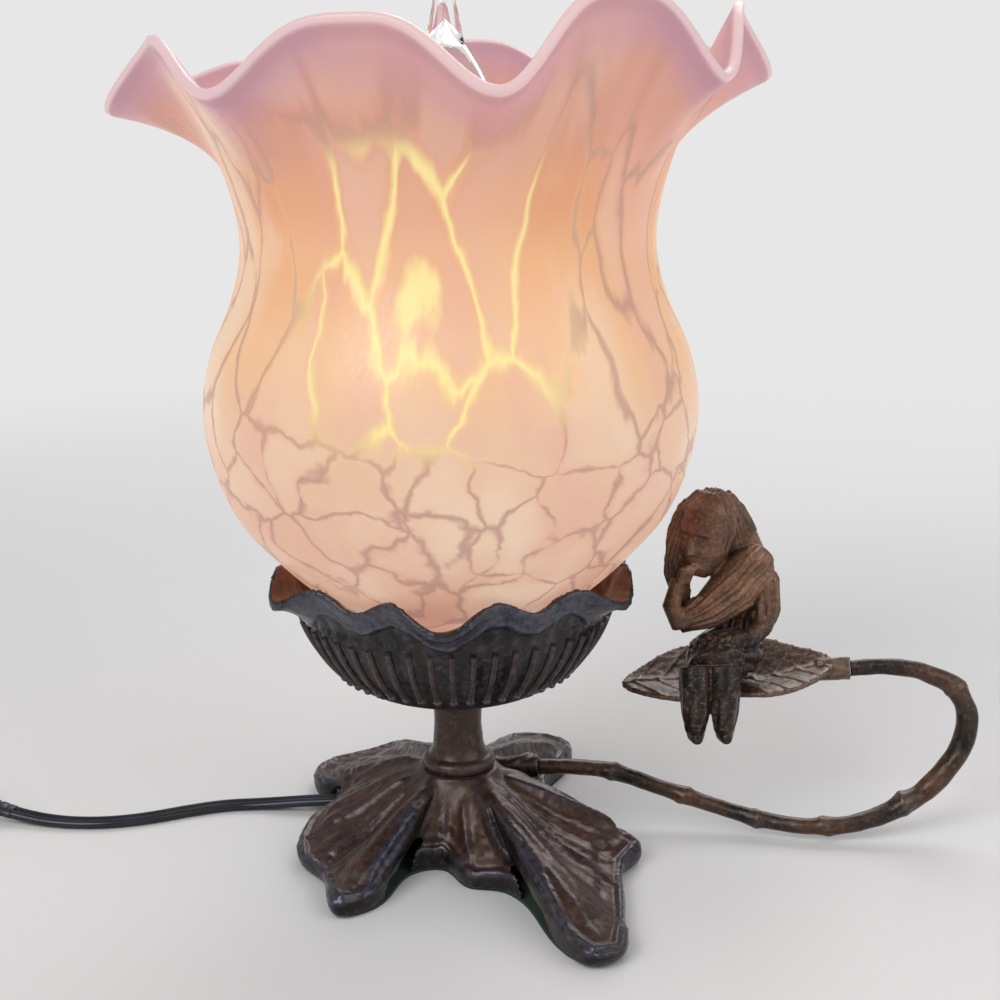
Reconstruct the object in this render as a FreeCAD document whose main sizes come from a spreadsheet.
import FreeCAD, Part
import math
import os
import Sketcher
from FreeCAD import Placement, Rotation, Vector

# A small table lamp: a ruffled glass tulip shade that rests in a fluted, petal-lipped cup on a
# short stem. The stem stands on a cast leaf, and a cast twig loops round from the leaf to a
# smaller leaf on which a little figure sits. Millimetres, +Z up, the origin on the stem's axis
# where the felt meets the table. An azimuth of 0 points to the front (-Y) and 90 to the right.

doc = FreeCAD.newDocument("tulip_lamp")
sheet = doc.addObject("Spreadsheet::Sheet", "Dimensions")

dimensions = {
    # the cast leaf and what holds the lamp to it
    "felt_thickness": 1.0,
    "leaf_rim_height": 4.6,
    "leaf_top_height": 25.0,
    "leaf_top_radius": 11.6,
    "leaf_cavity_height": 15.0,
    "leaf_cavity_radius": 10.6,
    "pipe_radius": 4.85,
    "pipe_bore_radius": 3.5,
    "pipe_clearance": 0.08,
    "nut_height": 4.5,
    "nut_flats": 14.0,
    "washer_radius": 9.6,
    "washer_height": 1.5,
    "pipe_overhang": 2.0,
    # the stem
    "stem_height": 23.0,
    "stem_foot_radius": 9.9,
    "stem_foot_roll": 2.2,
    "stem_waist_radius": 7.4,
    "stem_top_radius": 7.9,
    "collar_radius": 9.0,
    "collar_height": 2.6,
    # the cup
    "cup_floor": 4.0,
    "cup_well_radius": 18.0,
    "cup_well_depth": 6.5,
    "cup_seat_radius": 29.0,
    "cup_wall": 2.8,
    "cup_foot_radius": 17.0,
    "cup_mouth_radius": 45.6,
    "cup_mouth_height": 25.5,
    "petal_count": 6,
    "petal_azimuth": -2.0,
    "petal_edge": 2.4,
    "petal_reach": 52.6,
    "petal_spout": 3.4,
    "petal_rise": 11.0,
    "petal_droop": 1.6,
    "petal_scallop": 2.7,
    # the shade and the ring that it rests on
    "gasket_height": 2.6,
    "gasket_room": 2.0,
    "gasket_width": 6.0,
    "shade_hole_radius": 21.0,
    "shade_foot_radius": 24.5,
    "shade_belly_radius": 69.8,
    "shade_belly_height": 74.0,
    "shade_neck_radius": 57.6,
    "shade_neck_height": 116.0,
    "shade_wall": 3.0,
    "rim_height": 164.0,
    "rim_radius": 91.0,
    # the lamp holder on its tube
    "riser_radius": 6.6,
    "riser_height": 60.5,
    "cup_nut_height": 4.5,
    "holder_radius": 11.5,
    "holder_height": 34.0,
    "holder_cap_radius": 12.8,
    "holder_cap_height": 9.0,
    "holder_cap_wall": 0.8,
    "screw_shell_radius": 6.35,
    "screw_shell_wall": 0.35,
    "screw_shell_depth": 18.4,
    "holder_clearance": 0.1,
    # the bulb
    "bulb_cap_radius": 5.9,
    "bulb_cap_height": 16.0,
    "bulb_contact_height": 3.0,
    "bulb_radius": 17.5,
    "bulb_length": 108.0,
    "bulb_tip_radius": 3.1,
    "bulb_wall": 0.8,
    # the twig, its leaf and the figure
    "twig_radius": 2.4,
    "twig_thick_radius": 3.2,
    "spigot_radius": 2.0,
    "spigot_length": 8.0,
    "spigot_clearance": 0.06,
    "boss_radius": 3.4,
    "seat_leaf_thickness": 3.0,
    "seat_leaf_height": 47.0,
    "figure_pad_radius": 3.4,
    "screw_radius": 1.5,
    "screw_clearance": 0.1,
    # the mains lead
    "cord_radius": 2.7,
    "cord_clearance": 0.05,
    "bushing_radius": 3.4,
    "bushing_length": 8.0,
    "switch_length": 46.0,
    "switch_width": 20.0,
    "switch_base_height": 5.5,
    "switch_cover_height": 6.5,
    "wheel_radius": 11.5,
    "wheel_height": 4.0,
    "wheel_clearance": 0.35,
    "switch_screw_radius": 1.2,
    "turn_gap": 0.6,
    "climb_draw": 1.5,
    "coil_radius": 41.5,
    "plug_length": 26.0,
    "plug_width": 24.0,
    "plug_height": 12.0,
    "blade_length": 17.0,
    "blade_width": 6.35,
    "blade_thickness": 1.5,
    "blade_spacing": 12.7,
}
for row, (alias, value) in enumerate(dimensions.items(), start=1):
    sheet.set(f"A{row}", alias)
    sheet.set(f"B{row}", str(value))
    sheet.setAlias(f"B{row}", alias)
doc.recompute()


class Size:
    """A length together with the sheet expression that gives it."""

    def __init__(self, number, text):
        self.number = number
        self.text = text

    def with_other(self, sign, other, swap=False):
        other = other if isinstance(other, Size) else Size(float(other), str(float(other)))
        a, b = (other, self) if swap else (self, other)
        results = {"+": a.number + b.number, "-": a.number - b.number, "*": a.number * b.number}
        number = a.number / b.number if sign == "/" else results[sign]
        return Size(number, f"({a.text} {sign} {b.text})")

    def __add__(self, other):
        return self.with_other("+", other)

    def __radd__(self, other):
        return self.with_other("+", other, swap=True)

    def __sub__(self, other):
        return self.with_other("-", other)

    def __rsub__(self, other):
        return self.with_other("-", other, swap=True)

    def __mul__(self, other):
        return self.with_other("*", other)

    def __rmul__(self, other):
        return self.with_other("*", other, swap=True)

    def __truediv__(self, other):
        return self.with_other("/", other)

    def __float__(self):
        return float(self.number)


def fixed(number):
    """A length that nothing in the sheet drives."""
    return Size(number, f"({number})")


def size(alias):
    """A driving dimension as it stands in the sheet."""
    return Size(float(sheet.get(alias)), f"Dimensions.{alias}")


def bind(thing, **properties):
    for name, value in properties.items():
        thing.setExpression(name.replace("__", "."), value.text)


def place(thing, x=0.0, y=0.0, z=None, rotation=None):
    """Puts a piece at a point; a height given as a Size stays bound to the sheet."""
    thing.Placement = Placement(Vector(x, y, float(z or 0.0)), rotation or Rotation())
    if isinstance(z, Size):
        thing.setExpression("Placement.Base.z", z.text)
    return thing


pieces = []


def keep(thing, label):
    """Names a finished piece; its label becomes its file's name."""
    thing.Label = label
    pieces.append(thing)
    return thing


def cylinder(radius, height, z=None, x=0.0, y=0.0, rotation=None):
    rod = doc.addObject("Part::Cylinder", "Cylinder")
    bind(rod, Radius=radius, Height=height)
    return place(rod, x, y, z, rotation)


def box(length, width, height, x, y, z, rotation=None):
    """A box centred on x and y, standing on z."""
    block = doc.addObject("Part::Box", "Box")
    bind(block, Length=length, Width=width, Height=height)
    turn = rotation or Rotation()
    corner = Vector(x, y, float(z)) + turn.multVec(Vector(-length.number / 2, -width.number / 2, 0))
    block.Placement = Placement(corner, turn)
    return block


def cut(base, tool):
    result = doc.addObject("Part::Cut", "Cut")
    result.Base = base
    result.Tool = tool
    return result


def fuse(*shapes):
    result = doc.addObject("Part::MultiFuse", "Fuse")
    result.Shapes = list(shapes)
    return result


def tube(outer, inner, height, z=None, x=0.0, y=0.0, rotation=None):
    wall = cylinder(outer, height, z, x, y, rotation)
    return cut(wall, cylinder(inner, height, z, x, y, rotation))


def shaped(shape, name="Shape"):
    """A Part::Feature that holds a shape worked out from the sheet's values."""
    feature = doc.addObject("Part::Feature", name)
    feature.Shape = shape
    return feature


def turned(label, profile, x=0.0, y=0.0, z=None):
    """A body of revolution. The profile is a list of corners (radius, height) or, after an arc,
    (radius, height, arc radius): a positive arc bulges to the right of the way that it is drawn."""
    body = doc.addObject("PartDesign::Body", "Body")
    sketch = body.newObject("Sketcher::SketchObject", "Profile")
    plane = next(p for p in body.Origin.OriginFeatures if p.Role == "XZ_Plane")
    sketch.AttachmentSupport = [(plane, "")]
    sketch.MapMode = "FlatFace"
    corners = [Vector(float(p[0]), float(p[1]), 0) for p in profile]
    count = len(corners)
    for i, end in enumerate(profile):
        a, b = corners[i - 1], corners[i]
        if len(end) == 2:
            sketch.addGeometry(Part.LineSegment(a, b))
            continue
        bulge = float(end[2])
        half = (b - a).Length / 2
        away = math.sqrt(max(bulge * bulge - half * half, 0.0))
        left = Vector(a.y - b.y, b.x - a.x, 0).normalize() * math.copysign(away, bulge)
        middle = (a + b) / 2 + left
        first, last = (a, b) if bulge > 0 else (b, a)
        angles = [math.atan2(p.y - middle.y, p.x - middle.x) for p in (first, last)]
        if angles[1] < angles[0]:
            angles[1] += 2 * math.pi
        circle = Part.Circle(middle, Vector(0, 0, 1), abs(bulge))
        sketch.addGeometry(Part.ArcOfCircle(circle, *angles))
    # an arc that bulges to the left is drawn backwards, so its ends change places
    backwards = [len(end) == 3 and float(end[2]) < 0 for end in profile]
    starts_at = [(i, 2 if back else 1) for i, back in enumerate(backwards)]
    ends_at = [(i, 1 if back else 2) for i, back in enumerate(backwards)]
    for i in range(count):
        following = starts_at[(i + 1) % count]
        sketch.addConstraint(Sketcher.Constraint("Coincident", *ends_at[i], *following))
    for i, end in enumerate(profile):
        for kind, value, axis in (("DistanceX", end[0], -2), ("DistanceY", end[1], -1)):
            if not isinstance(value, Size):
                sketch.addConstraint(Sketcher.Constraint("PointOnObject", *ends_at[i], axis))
                continue
            number = sketch.addConstraint(
                Sketcher.Constraint(kind, -1, 1, *ends_at[i], float(value))
            )
            sketch.setExpression(f"Constraints[{number}]", value.text)
        if len(end) == 3:
            number = sketch.addConstraint(Sketcher.Constraint("Radius", i, abs(float(end[2]))))
            arc = end[2] if float(end[2]) > 0 else 0 - end[2]
            sketch.setExpression(f"Constraints[{number}]", arc.text)
    turn = body.newObject("PartDesign::Revolution", "Turn")
    turn.Profile = sketch
    turn.ReferenceAxis = (sketch, ["V_Axis"])
    turn.Angle = 360.0
    body.Tip = turn
    place(body, x, y, z)
    return keep(body, label) if label else body


def at(radius, azimuth, height):
    """A point by its distance from the axis, its azimuth in degrees and its height."""
    angle = math.radians(azimuth)
    return Vector(radius * math.sin(angle), -radius * math.cos(angle), height)


def ring(points, steps=None):
    """A closed smooth wire through points. Rings of one loft share the same steps."""
    curve = Part.BSplineCurve()
    steps = steps or [float(i) for i in range(len(points) + 1)]
    curve.interpolate(Points=points, PeriodicFlag=True, Parameters=steps)
    return Part.Wire([curve.toShape()])


def steps_along(outline):
    """The distance walked round an outline at each of its points, and back at the first."""
    corners = [Vector(p[0], p[1], 0) for p in outline] + [Vector(outline[0][0], outline[0][1], 0)]
    walked = [0.0]
    for a, b in zip(corners[:-1], corners[1:]):
        walked.append(walked[-1] + (b - a).Length)
    return walked


def oval(middle, along, radius, flat=0.99):
    """A closed wire square to a direction, a little narrower one way, with its seam kept in line."""
    along = Vector(along).normalize()
    reference = Vector(0, 0, 1) if abs(along.y) > 0.8 else Vector(0, 1, 0)
    side = (reference - along * along.dot(reference)).normalize()
    curve = Part.Ellipse(middle + along.cross(side) * radius, middle + side * (radius * flat), middle)
    return Part.Wire([curve.toShape()])


def joined(shells, caps):
    """One solid from open lofted shells and the flat rings that close them."""
    faces = [face for shell in shells for face in shell.Faces] + caps
    shell = Part.makeShell(faces)
    shell.sewShape()
    solid = Part.makeSolid(shell)
    solid.fix(0.001, 0.001, 0.01)
    if solid.Volume < 0:
        solid.reverse()
    return solid


# Heights of the places where one piece stands on another.
base_bottom = size("felt_thickness")
stem_bottom = base_bottom + size("leaf_top_height") - 1.0
collar_bottom = stem_bottom + size("stem_height")
cup_bottom = collar_bottom + size("collar_height")
well_floor = cup_bottom + size("cup_floor")
seat_height = well_floor + size("cup_well_depth")
shade_bottom = seat_height + size("gasket_height") + 0.3
cavity_top = base_bottom + size("leaf_cavity_height")
riser_bottom = well_floor + size("cup_nut_height")
riser_top = riser_bottom + size("riser_height")
pipe_hole = size("pipe_radius") + size("pipe_clearance")

# The cast leaf's outline: x, y and how far the leaf is folded up there.
leaf_outline = [
    (-46.5, 2.5, 1.6), (-48.0, -8.0, 0.0), (-46.0, -19.0, -1.0), (-39.0, -29.0, -1.4),
    (-36.5, -40.0, 0.6), (-32.5, -49.5, 1.6), (-26.0, -47.0, 0.4), (-18.5, -32.5, -0.4),
    (-12.5, -22.0, 1.2), (-5.0, -20.5, 1.0), (-0.5, -27.0, -0.6), (4.0, -33.0, -0.8),
    (11.0, -34.5, 0.4), (17.5, -40.0, 1.0), (24.0, -56.0, -0.6), (30.0, -72.0, 0.6),
    (36.0, -78.0, 1.2), (43.0, -75.0, 0.8), (45.5, -60.0, -1.0), (46.5, -42.0, -1.2),
    (48.0, -26.0, 0.4), (53.5, -17.0, 2.2), (46.5, -7.0, 1.8), (37.0, 6.0, 0.2),
    (29.5, 18.0, -0.8), (27.0, 32.0, -0.4), (33.0, 46.0, 1.0), (36.5, 60.0, 1.6),
    (28.0, 72.0, 0.4), (16.0, 73.0, -0.8), (5.0, 60.0, -1.0), (-8.0, 56.0, 0.6),
    (-20.0, 66.0, 1.6), (-32.0, 60.0, 0.4), (-44.0, 54.0, -0.6), (-48.5, 42.0, 1.0),
    (-45.0, 30.0, 2.6), (-38.5, 22.0, 3.6), (-42.0, 12.0, 2.2),
]


def leaf_ring(share, height, fold=0.0, hub=None):
    """The outline drawn in towards a circle about the stem; share is 1 at the leaf's edge."""
    hub = float(size("leaf_top_radius")) if hub is None else hub
    first = math.degrees(math.atan2(leaf_outline[0][0], -leaf_outline[0][1]))
    points = []
    for i, (x, y, rise) in enumerate(leaf_outline):
        azimuth = math.degrees(math.atan2(x, -y))
        azimuth += 360 if azimuth < first - 1 else 0
        even = first + 360 * i / len(leaf_outline)
        near = at(hub, (azimuth + even) / 2, 0)
        there = near + (Vector(x, y, 0) - near) * share
        points.append(there + Vector(0, 0, height + fold * rise))
    return ring(points, steps_along(leaf_outline))


def leaf_height(share):
    edge = float(base_bottom + size("leaf_rim_height"))
    top = float(stem_bottom)
    return edge + (top - edge) * (1 - share) ** 1.35


def make_base():
    """The cast leaf: a pleated dome on a flat rim, hollow underneath."""
    bottom = float(base_bottom)
    rings = [leaf_ring(0.985, bottom), leaf_ring(1.0, bottom + 1.2)]
    rings.append(leaf_ring(1.0, float(base_bottom + size("leaf_rim_height")) - 0.8, 0.3))
    rings += [leaf_ring(share, leaf_height(share), 1.6 * math.sin(math.pi * share) + 0.4 * share)
              for share in (0.97, 0.8, 0.6, 0.4, 0.2)]
    rings.append(leaf_ring(0.0, float(stem_bottom)))
    dome = shaped(Part.makeLoft(rings, True, False), "LeafDome")
    hub = float(size("leaf_cavity_radius"))
    under = [leaf_ring(0.82, bottom - 0.01, hub=hub), leaf_ring(0.7, bottom + 3.0, hub=hub)]
    under += [leaf_ring(0.42, bottom + 7.5, hub=hub), leaf_ring(0.12, bottom + 11.5, hub=hub)]
    under.append(leaf_ring(0.0, float(cavity_top), hub=hub))
    cavity = shaped(Part.makeLoft(under, True, False), "LeafCavity")
    root = boss_from(twig_start, twig_heading, size("boss_radius"), 17.0)
    body = cut(fuse(dome, root), cavity)
    body = cut(body, cylinder(pipe_hole, size("leaf_top_height"), base_bottom))
    body = cut(body, socket_for(twig_start, twig_heading))
    body = cut(body, lying(slot_radius, 16.0, cord_exit, to_left, 28.0))
    return keep(cut(body, cord_groove()), "leaf_base")


def cord_groove():
    """The room for the lead and its bushing, open to the table."""
    return box(fixed(44.0), slot_radius * 2, fixed(cord_exit.z), cord_exit.x + 6.0, cord_exit.y, 0.0)


def lying(radius, length, start, heading, back=0.0):
    """A rod along a heading, starting a little behind its start point."""
    length = length if isinstance(length, Size) else fixed(length)
    rod = doc.addObject("Part::Cylinder", "Rod")
    bind(rod, Radius=radius, Height=length + back)
    turn = Rotation(Vector(0, 0, 1), heading)
    rod.Placement = Placement(start - Vector(heading).normalize() * back, turn)
    return rod


def boss_from(start, heading, radius, back):
    return lying(radius, size("spigot_length"), start, heading, back)


def socket_for(start, heading):
    depth = size("spigot_length") + 0.3
    return lying(size("spigot_radius") + size("spigot_clearance"), depth, start, heading, 0.3)


# Where the mains lead leaves the leaf, with its heading to the left.
cord_exit = Vector(-40.0, 23.0, 3.9)
to_left = Vector(-1, 0, 0)
slot_radius = size("bushing_radius") + size("cord_clearance")

# The twig: its middle line, from the leaf's flank, low over the table, round to the seat. The
# heights of its bend are shares of the seat's height.
twig_start = Vector(16.5, 13.5, 18.2)
twig_points = [
    Vector(24.5, 13.0, 18.4), Vector(34.0, 12.6, 18.4), Vector(46.0, 12.0, 17.2),
    Vector(61.0, 10.5, 12.4), Vector(77.0, 6.5, 8.0), Vector(91.0, 1.5, 5.4),
    Vector(104.0, -2.5, 4.6), Vector(118.0, -3.5, 5.6),
]
twig_bend = [
    (130.5, -2.0, 0.19), (140.5, 0.5, 0.3), (148.5, 2.5, 0.45), (153.2, 4.0, 0.63),
    (153.8, 5.5, 0.81), (149.5, 7.0, 0.96), (141.0, 8.5, 1.05), (130.0, 10.0, 1.08),
    (119.5, 11.5, 1.06),
]
twig_points += [Vector(x, y, share * float(size("seat_leaf_height"))) for x, y, share in twig_bend]
twig_heading = (twig_points[0] - twig_start).normalize()
twig_end_heading = (twig_points[-1] - twig_points[-2]).normalize()
twig_knots = (0.12, 0.24, 0.36, 0.47, 0.6, 0.83)


def make_twig():
    """A round branch that thickens at its bend, with knots, and a plain spigot at each end."""
    curve = Part.BSplineCurve()
    curve.interpolate(Points=twig_points, InitialTangent=twig_heading * 60,
                      FinalTangent=twig_end_heading * 60)
    thin = float(size("twig_radius"))
    thick = float(size("twig_thick_radius"))
    count = 40
    wires = []
    for i in range(count + 1):
        share = i / count
        place_on = curve.FirstParameter + share * (curve.LastParameter - curve.FirstParameter)
        here = curve.value(place_on)
        tangent = curve.tangent(place_on)[0]
        swell = math.sin(math.pi * min(max((share - 0.42) / 0.58, 0.0), 1.0)) ** 2
        knot = sum(0.7 * math.exp(-(((share - k) / 0.014) ** 2)) for k in twig_knots)
        radius = thin + (thick - thin) * swell + knot
        wires.append(oval(here, tangent, radius))
    branch = shaped(Part.makeLoft(wires, True, True), "Branch")
    reach = size("spigot_length") + 1.5
    near = lying(size("spigot_radius"), reach, twig_points[0] - twig_heading * float(size("spigot_length")),
                 twig_heading)
    far = lying(size("spigot_radius"), reach, twig_points[-1] - twig_end_heading * 1.5,
                twig_end_heading)
    keep(fuse(branch, near, far), "twig_arm")


make_base()
felt_outline = Part.Face(leaf_ring(0.93, 0.0))
felt = doc.addObject("Part::Extrusion", "Felt")
felt.Base = shaped(felt_outline, "FeltOutline")
felt.DirMode = "Custom"
felt.Dir = Vector(0, 0, 1)
bind(felt, LengthFwd=size("felt_thickness"))
felt.Solid = True
keep(cut(felt, cord_groove()), "felt_pad")
make_twig()

# The stem, the collar under the cup and the threaded pipe that ties them to the leaf.
turned("stem", [
    (pipe_hole, stem_bottom),
    (size("stem_foot_radius"), stem_bottom),
    (size("stem_foot_radius") - 0.9, stem_bottom + 4.0, size("stem_foot_roll")),
    (size("stem_waist_radius"), stem_bottom + 9.5, fixed(-9.0)),
    (size("stem_top_radius"), collar_bottom, fixed(-40.0)),
    (pipe_hole, collar_bottom),
])
turned("stem_collar", [
    (pipe_hole, collar_bottom),
    (size("collar_radius") - 1.0, collar_bottom),
    (size("collar_radius") - 1.0, cup_bottom, size("collar_height") / 1.9),
    (pipe_hole, cup_bottom),
])
pipe_bottom = cavity_top - size("washer_height") - size("nut_height") - size("pipe_overhang")
pipe_top = riser_top + 4.0
keep(tube(size("pipe_radius"), size("pipe_bore_radius"), pipe_top - pipe_bottom, pipe_bottom),
     "lamp_pipe")
keep(tube(size("washer_radius"), pipe_hole, size("washer_height"),
          cavity_top - size("washer_height")), "bottom_washer")


def hex_nut(label, z, height):
    """A hexagonal nut on the lamp pipe."""
    nut = doc.addObject("Part::Prism", "Nut")
    nut.Polygon = 6
    bind(nut, Circumradius=size("nut_flats") / 1.732, Height=height)
    place(nut, z=z)
    return keep(cut(nut, cylinder(pipe_hole, height, z)), label)


hex_nut("bottom_nut", cavity_top - size("washer_height") - size("nut_height"), size("nut_height"))
hex_nut("cup_nut", well_floor, size("cup_nut_height"))


def petal_ring(out, flare, thickness=0.0):
    """A ring of the petalled lip: out is 0 at the bowl's mouth and 1 at the petals' edge."""
    count = int(float(size("petal_count")))
    mouth_radius = float(size("cup_mouth_radius")) - 1.4
    mouth = float(cup_bottom + size("cup_mouth_height")) - 1.5
    points = []
    for i in range(count * 12):
        azimuth = 360 * i / (count * 12)
        wave = math.radians((azimuth - float(size("petal_azimuth"))) * count)
        spout = (1 + math.cos(wave)) / 2
        edge_radius = (float(size("petal_reach")) + float(size("petal_spout")) * math.cos(wave)
                       + 0.6 * math.cos(2 * wave))
        edge_height = (mouth + float(size("petal_rise")) + 1.5
                       - float(size("petal_droop")) * math.cos(wave)
                       - float(size("petal_scallop")) * math.cos(2 * wave))
        crown = 1.8 * spout * math.sin(math.pi * out)
        radius = mouth_radius + (edge_radius - mouth_radius) * out ** flare
        height = mouth + (edge_height - mouth) * out + crown
        radius -= thickness * (1 - spout * out)
        height += thickness * spout * out
        points.append(at(radius, azimuth, height))
    return ring(points)


def make_cup():
    """The fluted bowl with a well for the nut, a seat for the shade and a lip of six petals."""
    foot = cup_bottom
    mouth = cup_bottom + size("cup_mouth_height")
    wall = size("cup_wall")
    bowl = turned(None, [
        (pipe_hole, foot),
        (size("cup_foot_radius"), foot),
        (size("cup_seat_radius") + 5.4, foot + 7.2, fixed(24.0)),
        (size("cup_mouth_radius"), mouth, fixed(52.0)),
        (size("cup_mouth_radius") - wall, mouth),
        (size("cup_seat_radius") + 3.0, seat_height + 2.6, fixed(-46.0)),
        (size("cup_seat_radius"), seat_height),
        (size("cup_well_radius"), seat_height),
        (size("cup_well_radius"), well_floor),
        (pipe_hole, well_floor),
    ])
    levels = (0.0, 0.35, 0.7, 0.92, 1.0)
    edge = float(size("petal_edge"))
    outside = [petal_ring(level, 1.2) for level in levels]
    inside = [petal_ring(level, 1.2, edge) for level in reversed(levels)]
    caps = [Part.Face([outside[0], inside[-1]])]
    lip = joined([Part.makeLoft(outside, False), Part.makeLoft(inside, False),
                  Part.makeLoft([outside[-1], inside[0]], False, True)], caps)
    keep(fuse(bowl, shaped(lip, "PetalLip")), "shade_cup")


make_cup()
gasket_radius = size("cup_seat_radius") - size("gasket_room")
keep(tube(gasket_radius, gasket_radius - size("gasket_width"), size("gasket_height"), seat_height),
     "shade_gasket")


# The ruffled rim: azimuth, and how far each dip and lobe lies beyond the rim's radius and height.
rim_dips = [(10.0, -6.0, -8.5), (57.0, -6.0, -5.0), (110.0, 8.5, -4.0), (150.0, 1.0, -9.0),
            (203.0, -1.0, -9.0), (254.0, 11.5, -12.0), (316.0, -10.0, -8.0)]
rim_lobes = [(34.0, -10.0, 15.0), (84.0, -10.5, 14.5), (130.0, -10.0, 11.0), (176.0, -10.0, 9.5),
             (227.0, -11.0, 3.0), (285.0, -11.0, 7.0), (346.0, -11.0, 9.0)]
dip_sharpness = 1.7


def ruffle(azimuth):
    """How far out and up the rim swings at an azimuth: broad lobes with narrow dips between."""
    stops = [(a % 360, out, up, True) for a, out, up in rim_dips]
    stops = sorted(stops + [(a % 360, out, up, False) for a, out, up in rim_lobes])
    stops = [(stops[-1][0] - 360, *stops[-1][1:])] + stops + [(stops[0][0] + 360, *stops[0][1:])]
    for a, b in zip(stops[:-1], stops[1:]):
        if a[0] <= azimuth <= b[0]:
            ease = (1 - math.cos(math.pi * (azimuth - a[0]) / (b[0] - a[0]))) / 2
            dip, lobe, near = (a, b, 1 - ease) if a[3] else (b, a, ease)
            near = near ** dip_sharpness
            return lobe[1] + (dip[1] - lobe[1]) * near, lobe[2] + (dip[2] - lobe[2]) * near


def shade_ring(radius, height, flare=0.0, inward=0.0):
    """A ring of the shade; flare is 0 where it is round and 1 at the ruffled rim."""
    count = 70
    points = []
    for i in range(count):
        azimuth = 360 * i / count
        out, up = ruffle(azimuth)
        points.append(at(radius - inward + out * flare, azimuth, height + up * flare))
    return ring(points)


def make_shade():
    """The blown glass tulip: a round belly, a drawn-in neck and a flared, ruffled rim."""
    foot = float(shade_bottom)
    belly = float(size("shade_belly_radius"))
    neck = float(size("shade_neck_radius"))
    belly_z = foot + float(size("shade_belly_height"))
    neck_z = foot + float(size("shade_neck_height"))
    rim_z = foot + float(size("rim_height"))
    rim = float(size("rim_radius"))
    start = float(size("shade_foot_radius"))
    # shares of the way from the foot to the belly, outwards and upwards
    swell = [(0.0, 0.0), (0.02, 0.09), (0.15, 0.17), (0.38, 0.27), (0.62, 0.41), (0.82, 0.56),
             (0.95, 0.75), (1.0, 1.0)]
    outer = [(start + (belly - start) * out, foot + (belly_z - foot) * up, 0.0) for out, up in swell]
    for share in (0.33, 0.67, 1.0):
        outer.append((belly + (neck - belly) * (1 - math.cos(math.pi * share)) / 2,
                      belly_z + (neck_z - belly_z) * share, 0.0))
    for share in (0.3, 0.55, 0.75, 0.9, 1.0):
        outer.append((neck + (rim - neck) * share ** 1.9,
                      neck_z + (rim_z - neck_z) * share ** 0.85, share ** 2.2))
    wall = float(size("shade_wall"))
    hole = float(size("shade_hole_radius"))
    inner = [(hole, foot, 0.0, 0.0)]
    inner += [(r, z + wall * 0.8 * max(1 - (z - foot) / (belly_z - foot), 0.0) * (r > hole + 5), f, wall)
              for r, z, f in outer[1:]]
    outside = [shade_ring(*row) for row in outer]
    inside = [shade_ring(*row) for row in reversed(inner)]
    caps = [Part.Face([outside[0], inside[-1]])]
    glass = joined([Part.makeLoft(outside, False), Part.makeLoft(inside, False),
                    Part.makeLoft([outside[-1], inside[0]], False, True)], caps)
    keep(shaped(glass, "Shade"), "tulip_shade")


make_shade()

# The lamp holder: a tube over the pipe, a cap, an insulating body and its screw shell.
keep(tube(size("riser_radius"), pipe_hole, size("riser_height"), riser_bottom), "riser_tube")
cap_top = riser_top + size("holder_cap_height")
cap_inner = size("holder_cap_radius") - size("holder_cap_wall")
turned("holder_cap", [
    (pipe_hole, riser_top),
    (size("holder_cap_radius") - 4.0, riser_top),
    (size("holder_cap_radius"), riser_top + 4.0, fixed(5.0)),
    (size("holder_cap_radius"), cap_top),
    (cap_inner, cap_top),
    (cap_inner, riser_top + 4.0),
    (pipe_hole, riser_top + 4.0),
])
holder_bottom = riser_top + 4.3
holder_top = holder_bottom + size("holder_height")
shell_bottom = holder_top - size("screw_shell_depth")
shell_bore = size("screw_shell_radius") + size("holder_clearance")
turned("lamp_holder", [
    (size("screw_shell_radius") - 3.0, holder_bottom),
    (size("holder_radius"), holder_bottom),
    (size("holder_radius"), holder_top - 1.0),
    (size("holder_radius") - 1.0, holder_top, fixed(1.0)),
    (shell_bore, holder_top),
    (shell_bore, shell_bottom),
    (size("screw_shell_radius") - 3.0, shell_bottom),
])
keep(tube(size("screw_shell_radius"), size("screw_shell_radius") - size("screw_shell_wall"),
          size("screw_shell_depth") - 0.5, shell_bottom + 0.1), "screw_shell")
contact_radius = size("screw_shell_radius") - 3.0 - size("holder_clearance")
keep(cylinder(contact_radius, fixed(3.0), shell_bottom - 2.9), "center_contact")
screws = [lying(fixed(1.6), fixed(1.0),
                Vector(side * float(size("holder_radius")), 0, float(holder_bottom) + 9.0),
                Vector(side, 0, 0)) for side in (-1, 1)]
keep(fuse(*screws), "terminal_screws")
wire_radius = fixed(1.0)
wires = [cylinder(wire_radius, shell_bottom - 3.2 - pipe_bottom, pipe_bottom, x=side * 1.3)
         for side in (-1, 1)]
keep(fuse(*wires), "inner_wires")

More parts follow.
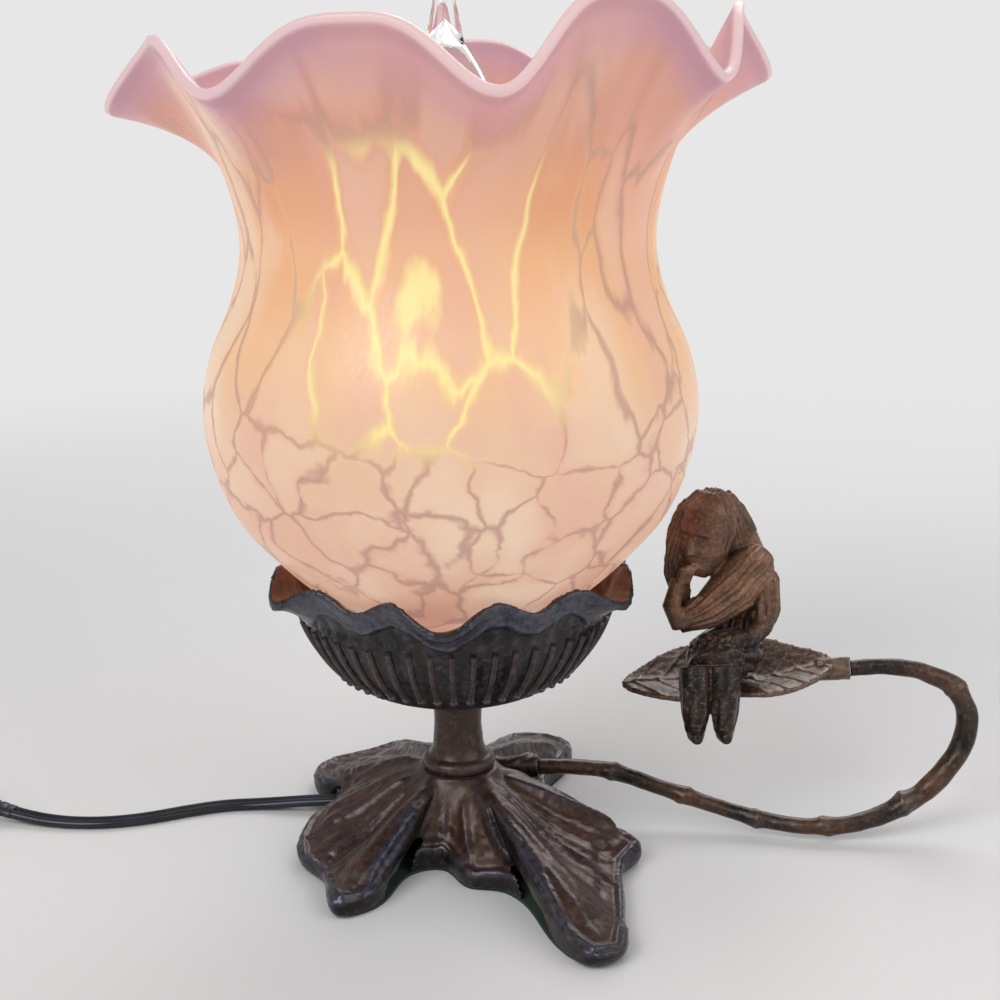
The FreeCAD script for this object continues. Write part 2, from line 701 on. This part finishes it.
# The bulb: a candle lamp with a small screw cap and a drawn tip.
bulb_bottom = shell_bottom + 0.4
cap_bottom = bulb_bottom + size("bulb_contact_height")
glass_bottom = cap_bottom + size("bulb_cap_height")
bulb_top = bulb_bottom + size("bulb_length")
cap_wall = size("bulb_cap_radius") - 0.5
keep(tube(size("bulb_cap_radius"), cap_wall, size("bulb_cap_height"), cap_bottom), "bulb_cap")
turned("bulb_contact", [
    (0, bulb_bottom),
    (fixed(2.0), bulb_bottom),
    (fixed(2.4), bulb_bottom + 1.0),
    (size("bulb_cap_radius") - 0.6, cap_bottom),
    (0, cap_bottom),
])
glass_wall = size("bulb_wall")
bulb_waist = glass_bottom + (bulb_top - glass_bottom) * 0.36
bulb_taper = bulb_top - 14.0
turned("bulb_glass", [
    (size("bulb_cap_radius") - 1.5, glass_bottom),
    (size("bulb_cap_radius") + 0.6, glass_bottom),
    (size("bulb_radius"), bulb_waist, fixed(44.0)),
    (size("bulb_tip_radius") + 2.2, bulb_taper, fixed(62.0)),
    (size("bulb_tip_radius"), bulb_top - size("bulb_tip_radius")),
    (0, bulb_top, size("bulb_tip_radius")),
    (0, bulb_top - 8.0),
    (size("bulb_tip_radius") + 2.2 - glass_wall, bulb_taper),
    (size("bulb_radius") - glass_wall, bulb_waist, fixed(-61.0)),
    (size("bulb_cap_radius") - 0.2, glass_bottom + 0.8, fixed(-43.0)),
    (size("bulb_cap_radius") - 1.5, glass_bottom + 0.8),
])
mount_top = glass_bottom + 18.0
turned("bulb_mount", [
    (0, cap_bottom + 0.3),
    (size("bulb_cap_radius") - 1.6, cap_bottom + 0.3),
    (size("bulb_cap_radius") - 1.6, glass_bottom + 2.0),
    (fixed(1.6), glass_bottom + 8.0),
    (fixed(1.2), mount_top),
    (0, mount_top),
])


def make_filament():
    """Two lead wires that rise from the glass mount and the coiled wire between them."""
    foot = float(mount_top)
    top = foot + 16.0
    path = [Vector(-0.6, 0, foot + 0.25), Vector(-7.0, 0, top), Vector(7.0, 0, top),
            Vector(0.6, 0, foot + 0.25)]
    rods = []
    for a, b, radius in zip(path[:-1], path[1:], (0.35, 0.6, 0.35)):
        rods.append(Part.makeCylinder(radius, (b - a).Length, a, b - a))
    knees = [Part.makeSphere(0.7, corner) for corner in path[1:3]]
    keep(shaped(rods[0].multiFuse(rods[1:] + knees).removeSplitter(), "Filament"), "bulb_filament")


make_filament()


def make_seat():
    """The small leaf that the figure sits on, on a stalk that takes the twig's spigot."""
    middle = Vector(82.0, 12.0, 0)
    height = float(size("seat_leaf_height"))
    thick = float(size("seat_leaf_thickness"))
    outline = [(-31.5, -1.0), (-24.0, -8.5), (-12.0, -13.0), (0.0, -12.0), (11.0, -14.0),
               (23.0, -11.0), (31.0, -4.5), (33.0, 0.0), (30.0, 4.5), (22.0, 10.0),
               (12.0, 15.5), (2.0, 12.5), (-10.0, 14.5), (-23.0, 9.0)]

    def level(share, z):
        points = []
        for x, y in outline:
            lift = 0.055 * x + 3.2 * max(x / 33.0, 0.0) ** 2 + 0.42 * max(y, 0.0) + 0.08 * min(y, 0.0)
            bend = max(share - 0.4, 0.0) / 0.6
            points.append(middle + Vector(x * share, y * share, z + lift * bend))
        return ring(points, steps_along(outline))

    levels = [(0.35, -thick), (0.7, -thick * 0.8), (1.0, -thick * 0.35), (0.99, 0.3), (0.8, 0.6),
              (0.35, 0.0)]
    leaf = Part.makeLoft([level(share, height + z) for share, z in levels], True, True)
    stalk = lying(size("boss_radius"), size("spigot_length") + 2.0, twig_points[-1],
                  twig_end_heading, -0.3)
    hole = socket_for(twig_points[-1], twig_end_heading)
    shank = cylinder(size("screw_radius") + size("screw_clearance"), size("seat_leaf_thickness") * 3,
                     size("seat_leaf_height") - size("seat_leaf_thickness") * 2,
                     x=figure_x, y=figure_y)
    keep(cut(cut(fuse(shaped(leaf, "SeatLeaf"), stalk), hole), shank), "leaf_seat")


figure_x = 78.0
figure_y = 12.0
make_seat()


def limb(points, radii, flat=0.99):
    """A length of body through points, each with its radius; flat narrows it from front to back."""
    wires = []
    for i, (point, radius) in enumerate(zip(points, radii)):
        before = points[max(i - 1, 0)]
        after = points[min(i + 1, len(points) - 1)]
        wires.append(oval(point, after - before, radius, flat))
    return Part.makeLoft(wires, True, True)


def make_figure():
    """A small seated figure: long hair, a pleated dress, one hand raised to the face."""
    seat = float(size("seat_leaf_height"))
    hip = Vector(figure_x + 5.0, figure_y + 2.0, seat + 8.5)

    def spot(x, y, z):
        return hip + Vector(x, y, z)

    screw_hole = Part.makeCylinder(float(size("screw_radius") + size("screw_clearance")),
                                   float(screw_reach) + 0.1, Vector(figure_x, figure_y, seat))
    forms = [
        # the bodice, from the seat to the neck
        limb([spot(1, 1, -3), spot(1, 0.5, 1), spot(1.5, 0, 5), spot(2, 0, 11), spot(3.5, 0, 18),
              spot(4, -0.5, 24), spot(0, -1.5, 28)], [7.0, 9.0, 8.2, 6.8, 9.0, 9.2, 3.8], 0.8),
        # the head, from the chin to the crown
        limb([spot(-11, -5, 25), spot(-10.3, -4.7, 27.5), spot(-9, -4, 33), spot(-8, -3.5, 39),
              spot(-7, -3, 45), spot(-6.5, -2.5, 50)], [2.6, 5.0, 7.4, 8.4, 7.6, 3.4], 0.95),
        # the hair, over the far shoulder and down beside the face
        limb([spot(-5, -1, 47), spot(-2.5, 0.5, 42.5), spot(0.5, 1.5, 36), spot(4, 2, 29),
              spot(7.5, 2.5, 21), spot(8, 3.5, 13)], [3.8, 6.2, 6.8, 6.4, 5.0, 2.8], 0.8),
        limb([spot(-8, -1, 48), spot(-12, -0.5, 43), spot(-15, -1, 35), spot(-16.5, -2, 25),
              spot(-15, -2.5, 15)], [3.4, 5.0, 4.6, 4.0, 2.2], 0.9),
        # the arm that rests in the lap, with its full sleeve
        limb([spot(6, -2, 29), spot(8.6, -3, 22), spot(9.4, -5.5, 14), spot(8, -9, 9)],
             [4.0, 5.2, 4.4, 3.0]),
        limb([spot(8.4, -8.8, 10), spot(4, -12.5, 7.5), spot(-3, -14, 7)], [3.0, 2.8, 2.2]),
        # the arm that is raised to the face, with its sleeve across the breast
        limb([spot(9, -1.5, 31), spot(6, -4, 28), spot(0, -6, 21.5), spot(-8, -7.5, 15),
              spot(-17, -8.5, 11)], [4.2, 6.8, 7.6, 5.6, 3.0], 0.85),
        limb([spot(-16, -8.3, 10.5), spot(-19, -8.8, 17), spot(-17, -8, 25)], [3.0, 2.8, 2.0]),
        # the lap
        limb([spot(2, 2, 0), spot(-1, -5, 1), spot(-6, -12, 1.5), spot(-8.5, -20.5, 0.5)],
             [9.0, 10.0, 9.0, 6.8], 0.8).cut(screw_hole),
    ]
    # the shins under the skirt, and the feet
    for x in (-13.0, -4.5):
        forms.append(limb([spot(x, -19, 1), spot(x, -21.5, -5), spot(x, -22, -12), spot(x, -22.5, -17.5)],
                          [4.8, 4.6, 4.0, 3.0]))
        forms.append(limb([spot(x, -20.5, -17.5), spot(x, -24, -18), spot(x, -28, -18.2)],
                          [2.6, 2.6, 1.5]))
    trunk = forms[0]
    for form in forms[1:]:
        trunk = trunk.fuse(form)
    pad = Part.makeCylinder(float(size("figure_pad_radius")), float(screw_reach) + 3.0,
                            Vector(figure_x, figure_y, seat)).cut(screw_hole)
    keep(shaped(pad.fuse(trunk), "FigureForms"), "figure")


screw_reach = fixed(2.8)
make_figure()
leaf_underside = size("seat_leaf_height") - size("seat_leaf_thickness")
screw_head = fixed(1.6)
keep(fuse(
    cylinder(size("screw_radius") * 1.9, screw_head, leaf_underside - screw_head,
             x=figure_x, y=figure_y),
    cylinder(size("screw_radius"), size("seat_leaf_thickness") + screw_reach,
             leaf_underside, x=figure_x, y=figure_y),
), "figure_screw")

# The mains lead. Its routes are points chosen along the table.
route_to_switch = [
    Vector(-30.5, 23.0, 3.9), Vector(-47.0, 23.0, 3.9), Vector(-63.4, 25.6, 2.8),
    Vector(-76.0, 24.8, 2.75), Vector(-87.5, 20.6, 2.75), Vector(-98.5, 15.6, 2.75),
    Vector(-111.0, 12.6, 2.75), Vector(-125.0, 13.4, 2.75), Vector(-138.0, 17.0, 3.2),
    Vector(-150.0, 19.6, 5.3), Vector(-162.0, 19.6, 5.5),
]
switch_face = route_to_switch[-1]
switch_far = switch_face - Vector(float(size("switch_length")), 0, 0)
coil_center = Vector(-214.0, -41.0, 0.0)
layer = 2 * float(size("cord_radius")) + float(size("turn_gap"))
lower_height = float(size("cord_radius")) + 0.05
stub = 2 * float(size("cord_radius")) + 0.2
coil_start = coil_center + Vector(-float(size("coil_radius")), 0, lower_height)
route_to_coil = [
    switch_far, Vector(-220.0, 19.6, 4.8), Vector(-234.0, 15.6, 3.1), Vector(-245.6, 6.6, 2.75),
    Vector(-252.8, -6.0, 2.75), Vector(coil_start.x, -19.5, 2.75), coil_start + Vector(0, stub, 0),
]


def tube_along(route, name):
    """A round tube along straight runs joined by tangent arcs; prints its radii and volume."""
    radius = float(size("cord_radius"))
    edges = []
    radii = []
    here = route[0]
    for before, corner, after in zip(route[:-2], route[1:-1], route[2:]):
        back, ahead = before - corner, after - corner
        run = min(back.Length, ahead.Length)
        turn = math.pi - back.getAngle(ahead)
        trim = 0.45 * run
        radii.append(round(trim / math.tan(turn / 2), 1))
        start = corner + back.normalize() * trim
        end = corner + ahead.normalize() * trim
        toward = (back + ahead).normalize()
        reach = radii[-1] / math.cos(turn / 2) - radii[-1]
        edges.append(Part.LineSegment(here, start).toShape())
        edges.append(Part.Arc(start, corner + toward * reach, end).toShape())
        here = end
    edges.append(Part.LineSegment(here, route[-1]).toShape())
    path = Part.Wire(edges)
    heading = (route[1] - route[0]).normalize()
    section = Part.Wire([Part.makeCircle(radius, route[0], heading)])
    solid = path.makePipeShell([section], True, False)
    print(name, "length", round(path.Length, 1), "radii", radii, "volume share",
          round(solid.Volume / (math.pi * radius * radius * path.Length), 4))
    return keep(shaped(solid, "Lead"), name)


def coil_wire():
    """Half turns that spiral in on the table, climb one layer and spiral out again."""
    inward = 7
    outward = 8
    step = layer / 2
    radii = [float(size("coil_radius")) - step * i for i in range(inward + 1)]
    radii += [radii[-1] + step * i for i in range(outward + 1)]
    levels = [lower_height] * (inward + 1) + [lower_height + layer] * (outward + 1)
    # the half turn that climbs is drawn in, clear of the turns that it passes
    for i in (inward, inward + 1):
        radii[i] -= size("climb_draw").number
    stations = []
    for i, (radius, level) in enumerate(zip(radii, levels)):
        side = -1 if i % 2 == 0 else 1
        stations.append(coil_center + Vector(side * radius, 0, level))
    first_heading = Vector(0, -1, 0)
    edges = [Part.LineSegment(stations[0] - first_heading * stub, stations[0]).toShape()]
    for i in range(len(stations) - 1):
        heading = first_heading * (1 if i % 2 == 0 else -1)
        a, b = stations[i], stations[i + 1]
        edges.append(Part.Arc(a, (a + b) / 2 + heading * ((b - a).Length / 2), b).toShape())
    last_heading = first_heading * (1 if len(stations) % 2 else -1)
    edges.append(Part.LineSegment(stations[-1], stations[-1] + last_heading * stub).toShape())
    return Part.Wire(edges)


def least_gap(wire, radius):
    """The least clear distance between parts of a tube that are far apart along it."""
    points = wire.discretize(Distance=radius)
    skip = 8
    least = min((points[i] - points[j]).Length
                for i in range(len(points)) for j in range(i + skip, len(points)))
    return least - 2 * radius


def make_coil():
    wire = coil_wire()
    radius = float(size("cord_radius"))
    section = Part.Wire([Part.makeCircle(radius, wire.Edges[0].valueAt(wire.Edges[0].FirstParameter),
                                         Vector(0, -1, 0))])
    shell = Part.BRepOffsetAPI.MakePipeShell(wire)
    shell.add(section)
    shell.build()
    shell.makeSolid()
    solid = shell.shape()
    print("cord_coil length", round(wire.Length, 1), "least gap", round(least_gap(wire, radius), 2),
          "volume share", round(solid.Volume / (math.pi * radius * radius * wire.Length), 4))
    keep(shaped(solid, "Coil"), "cord_coil")
    return wire


tube_along(route_to_switch, "power_cord")
tube_along(route_to_coil, "cord_lead")
coil_path = make_coil()
coil_end = coil_path.OrderedVertexes[-1].Point
plug_back = Vector(coil_end.x + 3.5, coil_end.y - 39.0, float(size("plug_height")) / 2)
coil_end.y -= float(size("cord_clearance"))
route_to_plug = [
    coil_end, coil_end + Vector(0, -10.0, 0), coil_end + Vector(1.2, -20.5, -3.0),
    plug_back + Vector(0, 9.0, 0), plug_back,
]
tube_along(route_to_plug, "cord_tail")
bushing_bore = size("cord_radius") + size("cord_clearance")
bushing_start = cord_exit - to_left * (float(size("bushing_length")) + 0.6)
keep(cut(lying(size("bushing_radius"), size("bushing_length"), bushing_start, to_left),
         lying(bushing_bore, size("bushing_length") + 2.0, bushing_start, to_left, 1.0)),
     "cord_bushing")

# The feed-through switch on the lead: two half shells, a thumb wheel, its contacts and screws.
switch_middle = switch_face - Vector(float(size("switch_length")) / 2, 0, 0)
wheel_z = size("switch_base_height") - size("wheel_height") / 2
wheel_room = size("wheel_radius") + size("wheel_clearance")
axle = fixed(2.0)
axle_hole = axle + size("cord_clearance")


def switch_half(label, height, z):
    """One half of the switch's housing, with its share of the bores and of the wheel's room."""
    block = box(size("switch_length"), size("switch_width"), height,
                switch_middle.x, switch_middle.y, z)
    edges = doc.addObject("Part::Fillet", "Round")
    edges.Base = block
    doc.recompute()
    upright = [i for i, e in enumerate(block.Shape.Edges, start=1)
               if abs(e.tangentAt(e.FirstParameter).z) > 0.9]
    edges.Edges = [(i, 7.0, 7.0) for i in upright]
    room = cylinder(wheel_room, size("wheel_height") + size("wheel_clearance") * 2,
                    wheel_z - size("wheel_clearance"), switch_middle.x, switch_middle.y)
    hole = cylinder(axle_hole, fixed(9.0), fixed(1.2), switch_middle.x, switch_middle.y)
    bores = [lying(bushing_bore, 8.4, point, way, 1.0)
             for point, way in ((switch_face, to_left), (switch_far, to_left * -1))]
    drills = [cylinder(size("switch_screw_radius") + 0.05, fixed(20.0), fixed(1.5), x, y)
              for x, y in switch_screw_places]
    wells = [cylinder(size("switch_screw_radius") * 2 + 0.05, fixed(9.0), fixed(switch_top) - 2.0, x, y)
             for x, y in switch_screw_places]
    return keep(cut(edges, fuse(room, hole, *bores, *drills, *wells)), label)


switch_top = float(size("switch_base_height") + size("switch_cover_height"))
switch_screw_places = [(switch_middle.x + side * 16.0, switch_middle.y + side * 6.2)
                       for side in (-1, 1)]
switch_half("switch_base", size("switch_base_height"), 0.0)
switch_half("switch_cover", size("switch_cover_height"), float(size("switch_base_height")))
keep(fuse(
    cylinder(size("wheel_radius"), size("wheel_height"), wheel_z, switch_middle.x, switch_middle.y),
    cylinder(axle, fixed(8.6), fixed(1.4), switch_middle.x, switch_middle.y),
), "switch_wheel")
keep(fuse(*[cylinder(size("switch_screw_radius"), fixed(switch_top - 2.0 - 1.5 - 0.3), fixed(1.8), x, y)
            for x, y in switch_screw_places],
          *[cylinder(size("switch_screw_radius") * 2, fixed(1.4), fixed(switch_top - 2.0), x, y)
            for x, y in switch_screw_places]), "switch_screws")

# The plug at the end of the lead, with its two flat blades.
plug_front = plug_back - Vector(0, float(size("plug_length")), 0)
plug_block = box(size("plug_width"), size("plug_length"), size("plug_height"),
                 plug_back.x, (plug_back.y + plug_front.y) / 2, 0.0)
plug_edges = doc.addObject("Part::Fillet", "Round")
plug_edges.Base = plug_block
doc.recompute()
plug_edges.Edges = [(i, 3.0, 3.0) for i, e in enumerate(plug_block.Shape.Edges, start=1)
                    if abs(e.tangentAt(e.FirstParameter).y) > 0.9]
blade_root = fixed(8.0)
slots = [box(size("blade_thickness"), blade_root * 2, size("blade_width"),
             plug_front.x + side * float(size("blade_spacing")) / 2, plug_front.y,
             float(size("plug_height") / 2 - size("blade_width") / 2)) for side in (-1, 1)]
keep(cut(plug_edges, fuse(*slots)), "plug_body")
keep(fuse(*[box(size("blade_thickness"), size("blade_length") + blade_root, size("blade_width"),
                plug_front.x + side * float(size("blade_spacing")) / 2,
                plug_front.y - (float(size("blade_length")) - float(blade_root)) / 2,
                float(size("plug_height") / 2 - size("blade_width") / 2)) for side in (-1, 1)]),
     "plug_blades")

doc.recompute()
for thing in doc.Objects:
    if "Invalid" in thing.State or "Error" in thing.State:
        raise RuntimeError(f"{thing.Name} ({thing.Label}) failed: {thing.State}")
os.makedirs("parts", exist_ok=True)
for piece in pieces:
    shape = piece.Shape
    if shape.isNull() or not shape.isValid():
        raise RuntimeError(f"{piece.Label} has no valid shape")
    print(piece.Label, len(shape.Solids), round(shape.Volume, 1))
for piece in pieces:
    piece.Shape.exportStep(f"parts/{piece.Label}.step")
